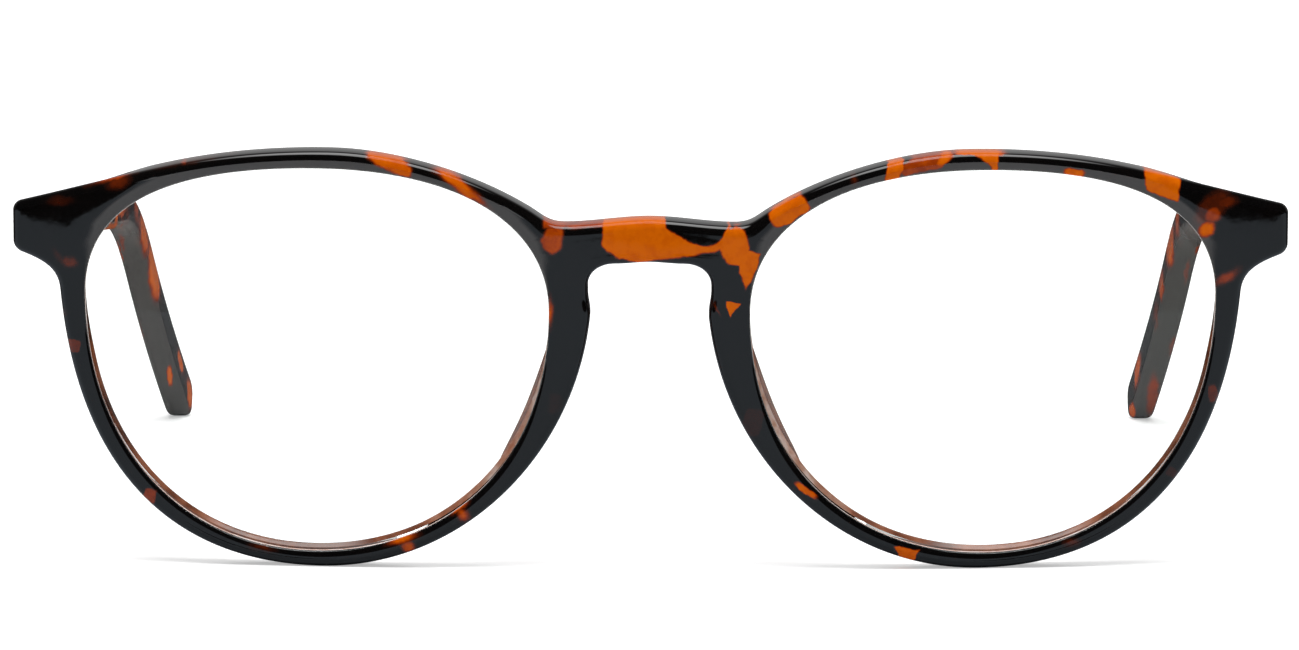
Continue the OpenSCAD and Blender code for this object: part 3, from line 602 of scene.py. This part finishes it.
def tortoise(name, rough, painted_table_light, on_arm=False, shapes=(), patches=(), blobs=()):
    """Polished tortoise plastic: dark, with placed patches and, on the arms, a free pattern, and
    painted table light where it faces down.
    """
    t = material(name)
    up = upright(t)
    half = (0.5, 0.5, 0.5)
    warp = t.vmath("SUBTRACT", t.noise(up, 0.6, 2.0, 0.5, "Color"), half)
    fine = t.vmath("SUBTRACT", t.noise(up, 2.0, 1.0, 0.5, "Color"), half)
    bent = t.vmath("ADD", up, t.vmath("SCALE", warp, WARP))
    bent = t.vmath("ADD", bent, t.vmath("SCALE", fine, FINE_WARP))
    layers, holes = [], []

    def place(label, mask, shade):
        mask.node.label = label
        if shade < 0:
            holes.append(mask)
        else:
            layers.append(t.times(mask, shade))

    for label, shade, soft, pts in shapes:
        # the greatest distance outside any side of the convex shape
        worst = None
        for (ax, az), (bx, bz) in zip(pts, pts[1:] + pts[:1]):
            run = math.hypot(bx - ax, bz - az)
            nx, nz = (bz - az) / run, -(bx - ax) / run
            side = t.math("SUBTRACT", t.vmath("DOT_PRODUCT", bent, (nx, 0, nz)), ax * nx + az * nz)
            worst = side if worst is None else t.math("SMOOTH_MAX", worst, side, BLEND * soft)
        place(label, t.ramp01(worst, -soft, soft, 1.0, 0.0), shade)
    for label, px, pz, a, b, angle, shade, kind in patches:
        local = t.mapping(bent, "TEXTURE", (px, 0, pz), (0, -math.radians(angle), 0), (a, DEEP, b))
        if kind == "box":
            local = t.vmath("MULTIPLY", local, local)
        edge = SOFT[kind] / min(a, b)
        place(label, t.ramp01(t.vmath("LENGTH", local), 1 - edge, 1 + edge, 1.0, 0.0), shade)
    for label, at, size, slope, shade in blobs:
        local = t.mapping(bent, "TEXTURE", at, (-slope, 0, 0), size)
        place(label, t.ramp01(t.vmath("LENGTH", local), 0.45, 1.4, 1.0, 0.0), shade)
    if on_arm:
        drift = t.vmath("ADD", t.mapping(up, loc=CLOUD_SEED, scale=(1, 0.6, 1)),
                        t.vmath("SCALE", warp, CLOUD_WARP))
        cloud = t.ramp01(t.noise(drift, CLOUD_SCALE, 1.5, 0.5), CLOUD_FROM, CLOUD_FROM + 0.06)
        fade = t.ramp01(t.split(up)["Y"], *CLOUD_FADE, 1.0, 0.0)
        layers.append(t.times(t.times(cloud, fade), CLOUD_SHADE))
    total = layers[0]
    for layer in layers[1:]:
        total = t.math("MAXIMUM", total, layer)
    for hole in holes:
        total = t.times(total, t.less(hole))
    # uneven depth of colour inside the patches, and a faint brown cast in the dark
    mottle = t.ramp01(t.noise(up, 0.8, 3.0, 0.6), 0.3, 0.7, 0.88, 1.04)
    cast = t.ramp01(t.noise(up, 0.3, 2.0, 0.5), 0.45, 0.75, 0.0, 0.05)
    col = t.colours(t.math("ADD", t.times(total, mottle), cast), STOPS)
    # painted light: colour for the light and reflection that come up from the table, where the dark
    # plastic faces down
    painted_light_mask = t.ramp01(t.split(t.coords("Normal"))["Z"], -0.1, -0.18)
    if on_arm:
        # on the arms the painted light is strongest at the bend, and there is none in front of it
        spot = t.split(up)
        limits = [("Y", 84, 112, 4.4, 1.0), ("Y", 62, 88)]
    else:
        # on the front the painted light goes only on the upper rims' inner sides, not the bridge or the
        # end pieces
        spot = t.split(t.vmath("ABSOLUTE", up))
        limits = [("Z", 25, 33), ("X", 9.6, 11.5), ("X", 60, 62, 1.0, 0.0)]
    for axis, *ramp in limits:
        painted_light_mask = t.times(painted_light_mask, t.ramp01(spot[axis], *ramp))
    painted_light_mask = t.times(painted_light_mask, t.ramp01(total, 0.2, 0.7, 1.0, 0.0))
    col = t.vmath("ADD", col, t.vmath("SCALE", linear(painted_table_light), painted_light_mask))
    shine = ARM_SHINE if on_arm else t.ramp01(total, 0.45, 0.9, PLAIN_SHINE, AMBER_SHINE)
    return finish_plastic(t, up, col, rough, shine)


def brown_plastic_painted_light(name, scale, low, high, nose_painted_reflection):
    """The same plastic with painted light through it: the rims' inner walls, the front lip and the
    pads.
    """
    t = material(name)
    up = upright(t)
    across = t.split(t.vmath("ABSOLUTE", up))["X"]
    cloud = t.ramp01(t.noise(up, scale, 3.0, 0.55), 0.32, 0.68, low, high)
    # painted reflection: paler beside the nose, for the light it catches from the room
    cloud = t.math("ADD", cloud, t.ramp01(across, 16, 27, nose_painted_reflection, 0.0))
    # painted shade: darker at the temples, where the wall turns away from the light
    cloud = t.math("ADD", cloud, t.ramp01(across, 50, 60, 0.0, -0.22))
    return finish_plastic(t, up, t.colours(cloud, BROWNS_PAINTED_LIGHT), SATIN)


def clear_lens():
    """Coated glass, which mirrors little, with the faintest unevenness in its tint."""
    t = material("lens_clear")
    tint = t.colours(t.noise(t.coords(), 60, 2.0, 0.5),
                     [(0.3, (252, 254, 253)), (0.7, (254, 254, 254))])
    glass = t.add("ShaderNodeBsdfGlass")
    for name, v in (("Color", tint), ("IOR", 1.3), ("Roughness", 0.0)):
        t.put(glass.inputs[name], v)
    clear = t.add("ShaderNodeBsdfTransparent")
    clear.inputs["Color"].default_value = (0.97, 0.975, 0.97, 1)
    path = t.add("ShaderNodeLightPath").outputs
    passes = t.math("MAXIMUM", path["Is Shadow Ray"], path["Is Diffuse Ray"])
    return t.finish(t.mix(passes, glass.outputs[0], clear.outputs[0]))


def brushed_steel():
    t = material("steel_brushed")
    lines = t.noise(t.mapping(t.coords(), scale=(400, 9000, 9000)), 1.0, 3.0, 0.6)
    return t.finish(t.principled(
        Base_Color=t.colours(lines, [(0.2, (150, 150, 154)), (0.8, (196, 196, 200))]), Metallic=1.0,
        Roughness=t.ramp01(lines, 0.2, 0.8, 0.2, 0.38), Normal=t.bump(lines, 0.15, 0.00002)))


# The drop behind the ear is this much thicker than in the CAD, towards the head
FULLER, FULLER_FROM, FULLER_RUN = 0.5, 60, 35


def arm_blobs():
    """The arms' patches as places on the upright front, half sizes, slope and shade."""
    out = []
    for label, side, s, across, high, a, b, c, shade in ARM_MARKS:
        y, z, q = arm_line(s)
        h = high * arm_height(s) / 2
        x = arm_outer(s) - across * (arm_thick(s) + FULLER)
        out.append((label, (side * x, y + h * math.sin(q), z + h * math.cos(q)), (a, b, c), q, shade))
    return out


front_plastic = tortoise("tortoise_front", POLISHED, FRONT_PAINTED_TABLE_LIGHT, shapes=SHAPES, patches=PATCHES)
arm_plastic = tortoise("tortoise_arms", SATIN, ARM_PAINTED_TABLE_LIGHT, on_arm=True, blobs=arm_blobs())
# The inner walls: brown plastic, paler with painted light through it and a painted reflection beside
# the nose
wall_brown_painted_light = brown_plastic_painted_light("tortoise_wall_painted_light", 0.25, 0.2, 0.62, 0.35)
# The front lip's pale brown is a painted highlight line along the opening
lip_painted_highlight = brown_plastic_painted_light("tortoise_lip_painted_highlight", 0.25, 0.7, 1.0, 0.2)
pad_plastic = brown_plastic_painted_light("tortoise_pads", 0.3, 0.18, 0.45, 0.0)
glass = clear_lens()
steel = brushed_steel()

# ---------------------------------------------------------------- the front
# Steps round the section's parts, steps between two of the outline's, and cuts through the bridge
ARC_LIP, ARC_EDGE, ARC_BACK, FACE_STEPS, FLAT_STEPS, FINE, CUTS = 5, 8, 4, 9, 4, 4, 12
# How far the cuts stay from the bridge's edges, the least height of the inner wall below the back
# lip, and the largest share of the face that is roll
CUT_MARGIN, WALL_LEAST, ROLL_MOST = 1.0, 0.1, 0.8
# The face rolls off gently towards the opening: width and depth of the roll, low down and high up,
# and the heights between which it changes
LOW_ROLL, HIGH_ROLL, ROLL_FROM, ROLL_TO = (1.15, 0.085), (1.9, 0.23), 27, 35
# The inner wall behind the lens leans inwards on the lower half, and a little more and higher
# up beside the nose, which is from NOSE_X inwards
FLARE, FLARE_TOP, FLARE_RUN = 0.3, 30, 8
NOSE_X, NOSE_RUN, NOSE_FLARE, NOSE_FLARE_RUN = 26, 8, 0.3, 16
# The front lip is set in beside the nose, between two turns of the opening
NOSE_INSET, INSET_FROM, INSET_TO = 0.24, 2.5, 3.7
# The end piece's back drops away from its upper edge, so that the arm hides behind it
DRAFT, DRAFT_FROM, DRAFT_TO = 0.17, 53, 61
# Materials of the front's faces, and the section's steps that lie on the inner wall and the front lip,
# which carries the painted highlight
FACE, WALL, LIP = 0, 1, 2
WALL_STEPS = range(ARC_LIP + 3, 2 * ARC_LIP + 6)
LIP_STEPS = range(ARC_LIP - 1, ARC_LIP + 2)


def roll_at(z):
    """Width and depth of the roll beside the opening at a height."""
    w = eased((z - ROLL_FROM) / (ROLL_TO - ROLL_FROM))
    return lerp(LOW_ROLL[0], HIGH_ROLL[0], w), lerp(LOW_ROLL[1], HIGH_ROLL[1], w)


def nose_inset(turn):
    s = ((turn % 4) - INSET_FROM) / (INSET_TO - INSET_FROM)
    return NOSE_INSET * math.sin(math.pi * s) ** 2 if 0 < s < 1 else 0.0


def dropped(o, n, depth):
    """A point of the outer side, lowered with its depth behind the face at the end piece."""
    w = eased((o[0] - DRAFT_FROM) / (DRAFT_TO - DRAFT_FROM)) * max(n[1], 0.0)
    return vec(o[0], o[1] - DRAFT * max(depth, 0.0) * w)


def quarter(steps, first=0.0):
    """Angles from the first one to a right angle."""
    return [lerp(first, math.pi / 2, i / steps) for i in range(steps + 1)]


def back_shares(from_x, run):
    """Shares of the way across the back, with steps where the ramp up to the hinge seam is. A way
    that hardly goes sideways doesn't meet the ramp."""
    if abs(run) > 0.01:
        foot_at = clamp((lug_in - ramp_w - from_x) / run, 0.1, 0.9)
        top_at = clamp((lug_in - from_x) / run, foot_at + 0.04, 0.97)
    else:
        foot_at, top_at = 0.3, 0.6
    return foot_at / 3, foot_at * 2 / 3, foot_at, top_at, (top_at + 1) / 2


def section(o, n, turn, whole):
    """The rim's section at o, whose outer side faces n: points, and where its outer side starts and
    ends. The section isn't whole where it is cut through the bridge on x = 0."""
    groove = on_shape(opening, turn)
    k = on_shape(opening, turn, 1.0) - groove
    wall = groove - nose_inset(turn) * k
    near_nose = eased((NOSE_X - wall[0]) / NOSE_RUN)
    lip = (FLARE * (1 + NOSE_FLARE * near_nose)
           * eased((FLARE_TOP - near_nose - wall[1]) / lerp(FLARE_RUN, NOSE_FLARE_RUN, near_nose)))
    roll_w, roll_d = roll_at(wall[1])
    roll_angle = math.atan(2 * roll_d / roll_w)
    mid, half = lens_y(groove + bevel_h * k), (bevel_h + lens_gap) * groove_slope
    pts = []

    def put(p, y):
        pts.append((p[0], y, p[1]))

    # front lip, from the face down into the opening, and the lens groove
    for a in quarter(ARC_LIP, roll_angle):
        p = wall + lip_r * (1 - math.sin(a)) * k
        put(p, face_y(p[0]) + roll_d + lip_r * (math.cos(roll_angle) - math.cos(a)))
    put(wall, lerp(face_y(wall[0]) + lip_r + roll_d, mid - half, 0.5))
    put(wall, mid - half)
    put(groove + (bevel_h + lens_gap) * k, mid)
    lowest = back_y((wall - lip * k)[0]) - lip_r - WALL_LEAST
    put(wall - lip / 2 * k, min(mid + half + lip / 2 * groove_slope, lowest))
    # back lip, and across the back
    for a in quarter(ARC_LIP):
        p = wall + (lip_r * (1 - math.cos(a)) - lip) * k
        put(p, back_y(p[0]) - lip_r * (1 - math.sin(a)))
    back_in = wall + (lip_r - lip) * k
    back_out = o - back_r * n if whole else o
    for s in back_shares(back_in[0], back_out[0] - back_in[0]):
        p = lerp(back_in, back_out, s)
        y = back_y(p[0])
        put(lerp(p, dropped(p, n, y - face_y(p[0]) - edge_r), s), y)
    # outer side, from the back to the face
    first_out = len(pts)
    for a in quarter(ARC_BACK):
        p = o - back_r * (1 - math.sin(a)) * n if whole else o
        y = back_y(p[0]) - (back_r * (1 - math.cos(a)) if whole else 0)
        put(dropped(p, n, y - face_y(p[0]) - edge_r), y)
    for a in quarter(ARC_EDGE):
        p = o - edge_r * (1 - math.cos(a)) * n if whole else o
        put(p, face_y(p[0]) + (edge_r * (1 - math.sin(a)) if whole else 0))
    last_out = len(pts) - 1
    # across the face, with even steps over the flat part, then even steps over the roll
    face_out = o - edge_r * n if whole else o
    face_in = wall + lip_r * (1 - math.sin(roll_angle)) * k
    run = np.linalg.norm(face_out - face_in)
    near = min(roll_w, run * ROLL_MOST)
    for i in range(1, FACE_STEPS):
        flat = i <= FLAT_STEPS
        d = (lerp(run, near, i / FLAT_STEPS) if flat
             else lerp(near, 0, (i - FLAT_STEPS) / (FACE_STEPS - FLAT_STEPS)))
        p = face_in + (face_out - face_in) * d / run
        put(p, face_y(p[0]) + roll_d * max(0.0, 1 - d / roll_w) ** 2)
    return pts, first_out, last_out


def build_front(materials):
    """Half the front, swept round the opening and cut on x = 0, and its mirror image."""
    spokes = []
    for k, (s, steps, start) in enumerate(outer_path):
        last = cut_turns[0] if k == len(outer_path) - 1 else outer_path[k + 1][2]
        count = steps * FINE
        for i in range(count):
            t = i / count
            spokes.append((on_curve(s, t), outward(direction(s, t)), lerp(start, last, t), True))
    cut_start = len(spokes)
    spokes.append((bridge_low, vec(0, -1), cut_turns[0], True))
    for i in range(1, CUTS + 1):
        z = lerp(bridge_z + CUT_MARGIN, bridge_top - CUT_MARGIN, (i - 0.5) / CUTS)
        spokes.append((vec(0, z), vec(-1, 0), lerp(*cut_turns, i / (CUTS + 1)), False))
    sections = [section(*spoke) for spoke in spokes]
    m, n = len(sections[0][0]), len(spokes)
    _, first_out, last_out = sections[0]
    faces, kinds = [], []
    for i in range(n):
        j = (i + 1) % n
        cut = i >= cut_start
        for a in range(m):
            b = (a + 1) % m
            if cut and first_out <= a < last_out:
                continue
            faces.append((i * m + a, j * m + a, j * m + b, i * m + b))
            kinds.append(WALL if a in WALL_STEPS else LIP if a in LIP_STEPS else FACE)
    v = np.vstack([pts for pts, _, _ in sections])
    other = [tuple(q + len(v) for q in f[::-1]) for f in faces]
    return make("front_shell", np.vstack([v, v * [-1, 1, 1]]), faces + other, materials,
                FRONT_SHARP, kinds=kinds + kinds)


# ---------------------------------------------------------------- lenses
LENS_SIDES, LENS_RINGS = 144, 10


def build_lens(name, mirrored):
    """A curved disc with a V bevel, as rings from the middle of the front to the middle of the back."""
    turns = [4 * i / LENS_SIDES for i in range(LENS_SIDES)]
    flat = [on_shape(opening, t) for t in turns]
    norm = [on_shape(opening, t, 1.0) - p for t, p in zip(turns, flat)]
    # where the bevel leaves the faces, and its edge in the groove
    inner = [p + (bevel_h - lens_t / 2 / groove_slope) * w for p, w in zip(flat, norm)]
    edge = [p + bevel_h * w for p, w in zip(flat, norm)]
    centre = vec(eye_x, lens_mid[2])
    shares = [r / LENS_RINGS for r in range(1, LENS_RINGS + 1)]
    verts = []

    def put(p, off=0.0):
        verts.append((p[0], lens_y(p, off), p[1]))

    put(centre, -lens_t / 2)
    for share in shares:
        for p in inner:
            put(lerp(centre, p, share), -lens_t / 2)
    for p in edge:
        put(p)
    for share in shares[::-1]:
        for p in inner:
            put(lerp(centre, p, share), lens_t / 2)
    put(centre, lens_t / 2)
    rings = 2 * LENS_RINGS + 1
    last = 1 + (rings - 1) * LENS_SIDES
    faces = [tuple(1 + q for q in f) for f in bridged(rings, LENS_SIDES)]
    for i in range(LENS_SIDES):
        j = (i + 1) % LENS_SIDES
        faces += [(0, 1 + i, 1 + j), (last + i, last + LENS_SIDES, last + j)]
    return make(name, verts, faces, [glass], LENS_SHARP, mirrored)


# ---------------------------------------------------------------- nose pads
PAD_RINGS, PAD_SIDES = 40, 28
# Where the pad starts and ends on the third quarter of the rim, and how thin its ends get
PAD_FROM, PAD_TO, PAD_THIN = 0.53, 0.97, 0.18
# A little more splay than in the CAD, because the pads show beside the nose through the lenses
PAD_SPLAY, PAD_GAP = 0.62, 0.02
# How fast width and depth shrink towards the ends, and how square the section is (1 is an ellipse)
PAD_END_W, PAD_END_D, PAD_SQUARE = 0.6, 0.8, 0.7


def build_pad(name, mirrored):
    verts = []
    for i in range(PAD_RINGS + 1):
        a = math.pi * i / PAD_RINGS
        turn = 2 + lerp(PAD_FROM, PAD_TO, (1 - math.cos(a)) / 2)
        e = max(math.sin(a), PAD_THIN)
        p, q = on_shape(rim, turn, -back_r), on_shape(opening, turn, lip_r)
        mid, half, way = (p + q) / 2, (q - p) / 2 * e ** PAD_END_W, (q - p) / np.linalg.norm(q - p)
        for k in range(PAD_SIDES):
            w = math.pi * k / (PAD_SIDES - 1)
            proud = pad_d * e ** PAD_END_D * max(math.sin(w), 0) ** PAD_SQUARE
            co = math.cos(w)
            c = mid - half * math.copysign(abs(co) ** PAD_SQUARE, co) + PAD_SPLAY * proud * way
            verts.append((c[0], back_y(c[0]) + PAD_GAP + proud, c[1]))
    faces = capped(PAD_RINGS + 1, PAD_SIDES)
    return make(name, verts, faces, [pad_plastic], ROUND_SHARP, mirrored)


# ---------------------------------------------------------------- arms
# Sides of the section and how square it is (1 is an ellipse), and how the tip thins
ARM_SIDES, ARM_SQUARE, TIP_THIN, TIP_THIN_MORE = 48, 0.5, 0.35, 0.4
# Above its middle line the arm starts this high at the seam, so that it hides behind the end piece
SEAM_TOP_H = 2.1
TIP_ANGLES = (8, 16, 24, 32, 40, 48, 56, 63, 70, 75, 80)
# The first millimetres turn from the seam's upright face to square with the arm
SQUARE_RUN = 6


def build_arm(name, mirrored):
    bent_to, tip_from = bend_at + bend_turn, arm_l - tip_r
    stations = [0, 0.15, *np.linspace(1, bend_at - 4, 60), *np.linspace(bend_at - 3, bent_to + 4, 40),
                *np.linspace(bent_to + 5, tip_from, 24),
                *(tip_from + tip_r * math.sin(math.radians(a)) for a in TIP_ANGLES)]
    verts = []
    for s in stations:
        y, z, q = arm_line(s)
        q *= clamp(s / SQUARE_RUN, 0, 1)
        e = tip_share(s)
        thick = arm_thick(s) + FULLER * eased((s - FULLER_FROM) / FULLER_RUN)
        half_t = thick / 2 * lerp(1, e, TIP_THIN + TIP_THIN_MORE * (1 - e))
        half_h = arm_height(s) / 2 * e
        top_h = min(half_h, lerp(SEAM_TOP_H, half_h, eased(s / mid_from)))
        x = arm_outer(s) - thick / 2
        for k in range(ARM_SIDES):
            w = 2 * math.pi * k / ARM_SIDES
            sw, cw = math.sin(w), math.cos(w)
            b = (top_h if sw > 0 else half_h) * math.copysign(abs(sw) ** ARM_SQUARE, sw)
            verts.append((x + half_t * math.copysign(abs(cw) ** ARM_SQUARE, cw),
                          y + b * math.sin(q), z + b * math.cos(q)))
    faces = capped(len(stations), ARM_SIDES)
    return make(name, verts, faces, [arm_plastic], ROUND_SHARP, mirrored)


# ---------------------------------------------------------------- the pieces
front = build_front([front_plastic, wall_brown_painted_light, lip_painted_highlight])
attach(front, "front")
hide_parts("frame_front")

for side, mirrored in (("right", True), ("left", False)):
    lens = build_lens("lens_glass_" + side, mirrored)
    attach(lens, "front")
    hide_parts("lens_" + side)
    pad = build_pad("pad_" + side, mirrored)
    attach(pad, "front")
    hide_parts("nose_pad_" + side)
    arm = build_arm("arm_shell_" + side, mirrored)
    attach(arm, "arm_" + side)
    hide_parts("temple_" + side)

for name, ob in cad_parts.items():
    if "hinge" in name or "core_wire" in name:
        ob.data.materials.clear()
        ob.data.materials.append(steel)

# ---------------------------------------------------------------- floor, light, world, camera
# How white the table is lifted for the camera: near by, far away, and the distances in metres
LIFT_NEAR, LIFT_FAR, LIFT_FROM, LIFT_TO = 0.42, 0.8, 0.5, 2.0
FLOOR_HALF = 6.0
# The table that polished plastic mirrors: greyer in front, dark behind
MIRRORED = [(0.0, (161, 171, 180)), (1.0, (62, 62, 64))]


def stage_plane(name, corners, mat):
    me = bpy.data.meshes.new(name)
    me.from_pydata(corners, [], [tuple(range(len(corners)))])
    me.materials.append(mat)
    ob = bpy.data.objects.new(name, me)
    bpy.context.scene.collection.objects.link(ob)
    return ob


def floor_material():
    t = material("floor_white")
    path = t.add("ShaderNodeLightPath").outputs
    through = path["Is Transmission Ray"]
    # the far table gets less light, and more lift keeps it white
    away = t.ramp01(t.vmath("LENGTH", t.coords()), LIFT_FROM, LIFT_TO, LIFT_NEAR, LIFT_FAR)
    seen = t.math("MAXIMUM", path["Is Camera Ray"], through)
    lift_node = t.add("ShaderNodeEmission")
    t.put(lift_node.inputs["Strength"], t.times(seen, away))
    mirrored = t.diffuse(t.colours(t.ramp01(t.split(t.coords())["Y"], -0.06, 0.06), MIRRORED))
    plain = t.diffuse((0.8, 0.8, 0.8, 1))
    table = t.mix(t.times(path["Is Glossy Ray"], t.less(through)), plain, mirrored)
    add = t.add("ShaderNodeAddShader")
    t.put(add.inputs[0], table)
    t.put(add.inputs[1], lift_node.outputs[0])
    return t.finish(add.outputs[0])


def card_material():
    t = material("card_black")
    return t.finish(t.diffuse((0.008, 0.008, 0.008, 1)))


stage_plane("floor", [(-FLOOR_HALF, -FLOOR_HALF, 0), (FLOOR_HALF, -FLOOR_HALF, 0),
                      (FLOOR_HALF, FLOOR_HALF, 0), (-FLOOR_HALF, FLOOR_HALF, 0)], floor_material())
# A black card on the table in front of the glasses keeps the upper faces dark. Its back edge
# shapes the line where their reflection of the table starts. Only reflections see it.
CARD_BACK = [
    (-1.2, -0.19), (-0.3, -0.195), (-0.15, -0.202), (-0.12, -0.206), (-0.03, -0.219), (-0.012, -0.217),
    (0.0, -0.212), (0.012, -0.2135), (0.03, -0.218), (0.12, -0.211), (0.15, -0.204), (0.3, -0.195),
    (1.2, -0.19)]
CARD_FRONT = [(1.2, -2.4), (-1.2, -2.4)]
CARD_Z = 0.0015
card = stage_plane("dark_card", [(x, y, CARD_Z) for x, y in CARD_BACK + CARD_FRONT], card_material())
card.visible_camera = False
card.visible_diffuse = False
card.visible_transmission = False
card.visible_shadow = False

# The world is white to the camera and through the lenses, and soft for the light on the glasses.
# For reflections the room is dark in front, brighter behind and bright straight above.
ROOM, FRONT_LEVEL, BACK_LEVEL, ZENITH_LEVEL = 0.35, 0.02, 0.36, 5.5
world = bpy.data.worlds.new("studio")
bpy.context.scene.world = world
t = Tree(world)
path = t.add("ShaderNodeLightPath").outputs
sky = t.split(t.coords("Generated"))
gloss = t.math("ADD", t.ramp01(sky["Y"], 0.1, 1.0, FRONT_LEVEL, BACK_LEVEL),
               t.ramp01(sky["Z"], 0.9, 0.97, 0.0, ZENITH_LEVEL))
seen = t.math("MAXIMUM", path["Is Camera Ray"], path["Is Transmission Ray"])
level = t.math("ADD", t.times(path["Is Glossy Ray"], t.math("SUBTRACT", gloss, ROOM)), ROOM)
level = t.math("ADD", t.times(seen, t.less(level)), level)
background = t.add("ShaderNodeBackground")
background.inputs["Color"].default_value = (1, 1, 1, 1)
t.put(background.inputs["Strength"], level)
t.finish(background.outputs[0], "World")


def lamp(name, where, size, watts):
    """A soft lamp aimed at the glasses, which shows in no reflection."""
    d = bpy.data.lights.new(name, "AREA")
    d.shape = "RECTANGLE"
    d.size, d.size_y = size
    d.energy = watts
    ob = bpy.data.objects.new(name, d)
    ob.location = where
    ob.rotation_euler = (-Vector(where)).to_track_quat("-Z", "Y").to_euler()
    ob.visible_glossy = False
    bpy.context.scene.collection.objects.link(ob)


lamp("soft_top", (0.0, -0.25, 0.95), (0.9, 0.5), 9)
lamp("soft_back", (0.0, 0.8, 0.7), (1.2, 0.5), 5)


def turned(degrees, axis):
    return Matrix.Rotation(math.radians(degrees), 4, axis)


# The camera's place in metres, and its turn, downward tilt and roll in degrees
CAMERA_AT, CAMERA_TURN, CAMERA_DOWN, CAMERA_ROLL = (0.008, -0.929, 0.121), 0.533, 6.257, 0.1
cam = bpy.data.cameras.new("camera")
cam.sensor_width = 36
cam.lens = 222.2
cam.clip_start = 0.01
cam_ob = bpy.data.objects.new("camera", cam)
bpy.context.scene.collection.objects.link(cam_ob)
cam_ob.matrix_world = (Matrix.Translation(CAMERA_AT) @ turned(CAMERA_TURN, "Z")
                       @ turned(90 - CAMERA_DOWN, "X") @ turned(CAMERA_ROLL, "Z"))
bpy.context.scene.camera = cam_ob
bpy.context.scene.view_settings.view_transform = "Standard"

bpy.context.view_layer.update()
